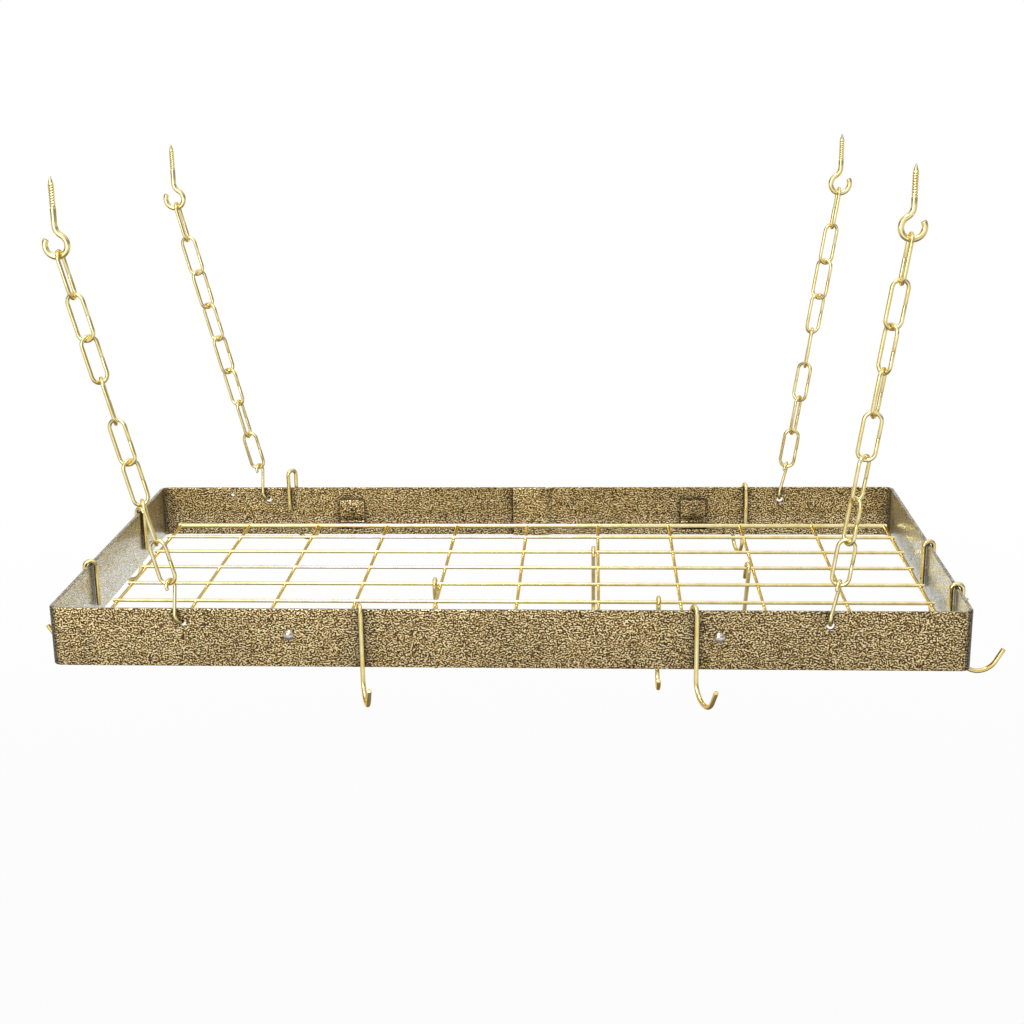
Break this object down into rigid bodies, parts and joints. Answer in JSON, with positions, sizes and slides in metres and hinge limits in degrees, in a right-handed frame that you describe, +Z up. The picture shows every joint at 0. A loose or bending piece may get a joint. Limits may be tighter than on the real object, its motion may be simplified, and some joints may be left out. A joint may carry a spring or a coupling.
{
  "type": "hanging pot rack",
  "caption": "Rectangular flat-bar pot rack on chains, with a loose brass wire shelf and brass hooks over its rim and shelf wires.",
  "frame": {"origin": "the ceiling plane, midway between the four ceiling hooks' screws", "axes": "+X along the rack to its right, -Y its front, +Z up into the ceiling along the screws"},
  "size_m": [0.8459, 0.4633, 0.4653],
  "materials": {
    "band_coat": "hammertone brown and gold vein coat under gloss",
    "shelf_brass": "polished and lacquered",
    "chain_brass": "polished and lacquered",
    "hook_brass": "polished and lacquered"
  },
  "bodies": {
    "ceiling_hooks": {"ceiling_hook_front_left": "chain_brass", "ceiling_hook_front_right": "chain_brass", "ceiling_hook_rear_left": "chain_brass", "ceiling_hook_rear_right": "chain_brass"},
    "chain_front_left": {"link_front_left_1": "chain_brass", "link_front_left_2": "chain_brass", "link_front_left_3": "chain_brass", "link_front_left_4": "chain_brass", "link_front_left_5": "chain_brass", "link_front_left_6": "chain_brass", "link_front_left_7": "chain_brass", "link_front_left_8": "chain_brass"},
    "chain_front_right": {"link_front_right_1": "chain_brass", "link_front_right_2": "chain_brass", "link_front_right_3": "chain_brass", "link_front_right_4": "chain_brass", "link_front_right_5": "chain_brass", "link_front_right_6": "chain_brass", "link_front_right_7": "chain_brass", "link_front_right_8": "chain_brass"},
    "chain_rear_left": {"link_rear_left_1": "chain_brass", "link_rear_left_2": "chain_brass", "link_rear_left_3": "chain_brass", "link_rear_left_4": "chain_brass", "link_rear_left_5": "chain_brass", "link_rear_left_6": "chain_brass", "link_rear_left_7": "chain_brass", "link_rear_left_8": "chain_brass"},
    "chain_rear_right": {"link_rear_right_1": "chain_brass", "link_rear_right_2": "chain_brass", "link_rear_right_3": "chain_brass", "link_rear_right_4": "chain_brass", "link_rear_right_5": "chain_brass", "link_rear_right_6": "chain_brass", "link_rear_right_7": "chain_brass", "link_rear_right_8": "chain_brass"},
    "rack": {"band": "band_coat", "bracket_rivets": "band_coat", "angle_bracket_front_left": "band_coat", "angle_bracket_front_right": "band_coat", "angle_bracket_rear_left": "band_coat", "angle_bracket_rear_right": "band_coat", "s_hook_front_left": "chain_brass", "s_hook_front_right": "chain_brass", "s_hook_rear_left": "chain_brass", "s_hook_rear_right": "chain_brass"},
    "shelf": {"wire_shelf": "shelf_brass"},
    "pot_hook_front_left": {"pot_hook_front_left": "hook_brass"},
    "pot_hook_front_right": {"pot_hook_front_right": "hook_brass"},
    "pot_hook_left_front": {"pot_hook_left_front": "hook_brass"},
    "pot_hook_left_rear": {"pot_hook_left_rear": "hook_brass"},
    "pot_hook_right_front": {"pot_hook_right_front": "hook_brass"},
    "pot_hook_right_rear": {"pot_hook_right_rear": "hook_brass"},
    "pot_hook_rear_left": {"pot_hook_rear_left": "hook_brass"},
    "pot_hook_rear_right": {"pot_hook_rear_right": "hook_brass"},
    "shelf_hook_outer_left": {"shelf_hook_outer_left": "hook_brass"},
    "shelf_hook_inner_left": {"shelf_hook_inner_left": "hook_brass"},
    "shelf_hook_inner_right": {"shelf_hook_inner_right": "hook_brass"},
    "shelf_hook_outer_right": {"shelf_hook_outer_right": "hook_brass"}
  },
  "joints": [
    {"name": "rack_swing", "type": "hinge", "parent": "ceiling_hooks", "child": "chain_front_left", "pos_m": [-0.32801, -0.1889, -0.03635], "axis": [1, 0, 0], "range_deg": [-12, 12]},
    {"name": "chain_front_right_swing", "type": "hinge", "parent": "ceiling_hooks", "child": "chain_front_right", "pos_m": [0.32885, -0.1889, -0.03049], "axis": [1, 0, 0], "range_deg": [-12.5, 12.5]},
    {"name": "chain_rear_left_swing", "type": "hinge", "parent": "ceiling_hooks", "child": "chain_rear_left", "pos_m": [-0.32801, 0.1889, -0.03635], "axis": [1, 0, 0], "range_deg": [-12.5, 12.5]},
    {"name": "chain_rear_right_swing", "type": "hinge", "parent": "ceiling_hooks", "child": "chain_rear_right", "pos_m": [0.32885, 0.1889, -0.03049], "axis": [1, 0, 0], "range_deg": [-12.5, 12.5]},
    {"name": "rack_level", "type": "hinge", "parent": "chain_front_left", "child": "rack", "pos_m": [-0.25949, -0.1889, -0.30918], "axis": [1, 0, 0], "range_deg": [-12.5, 12.5]},
    {"name": "shelf_lift", "type": "slide", "parent": "rack", "child": "shelf", "axis": [0, 0.0797, 0.9968], "range_m": [0, 0.06]},
    {"name": "pot_hook_front_left_slide", "type": "slide", "parent": "rack", "child": "pot_hook_front_left", "axis": [1, 0, 0], "range_m": [-0.04, 0.09]},
    {"name": "pot_hook_front_right_slide", "type": "slide", "parent": "rack", "child": "pot_hook_front_right", "axis": [1, 0, 0], "range_m": [-0.11, 0.003]},
    {"name": "pot_hook_left_front_slide", "type": "slide", "parent": "rack", "child": "pot_hook_left_front", "axis": [0, 1, 0], "range_m": [-0.09, 0.1]},
    {"name": "pot_hook_left_rear_slide", "type": "slide", "parent": "rack", "child": "pot_hook_left_rear", "axis": [0, 1, 0], "range_m": [-0.06, 0.065]},
    {"name": "pot_hook_right_front_slide", "type": "slide", "parent": "rack", "child": "pot_hook_right_front", "axis": [0, 1, 0], "range_m": [-0.035, 0.045]},
    {"name": "pot_hook_right_rear_slide", "type": "slide", "parent": "rack", "child": "pot_hook_right_rear", "axis": [0, 1, 0], "range_m": [-0.05, 0.165]},
    {"name": "pot_hook_rear_left_slide", "type": "slide", "parent": "rack", "child": "pot_hook_rear_left", "axis": [1, 0, 0], "range_m": [-0.012, 0.04]},
    {"name": "pot_hook_rear_right_slide", "type": "slide", "parent": "rack", "child": "pot_hook_rear_right", "axis": [1, 0, 0], "range_m": [-0.03, 0.02]},
    {"name": "shelf_hook_outer_left_swing", "type": "hinge", "parent": "shelf", "child": "shelf_hook_outer_left", "pos_m": [-0.05538, -0.0333, -0.36053], "axis": [1, 0, 0], "range_deg": [-30, 30]},
    {"name": "shelf_hook_inner_left_swing", "type": "hinge", "parent": "shelf", "child": "shelf_hook_inner_left", "pos_m": [0.08993, 0.0639, -0.36053], "axis": [1, 0, 0], "range_deg": [-30, 30]},
    {"name": "shelf_hook_inner_right_swing", "type": "hinge", "parent": "shelf", "child": "shelf_hook_inner_right", "pos_m": [0.14727, -0.0819, -0.36053], "axis": [1, 0, 0], "range_deg": [-30, 30]},
    {"name": "shelf_hook_outer_right_swing", "type": "hinge", "parent": "shelf", "child": "shelf_hook_outer_right", "pos_m": [0.23372, 0.0153, -0.36053], "axis": [0.9848, 0.1736, 0], "range_deg": [-30, 30]}
  ],
  "couplings": [
    {"joint": "chain_front_right_swing", "follows": "rack_swing", "ratio": 0.98106},
    {"joint": "chain_rear_left_swing", "follows": "rack_swing", "ratio": 1},
    {"joint": "chain_rear_right_swing", "follows": "rack_swing", "ratio": 0.98106},
    {"joint": "rack_level", "follows": "rack_swing", "ratio": -1}
  ]
}
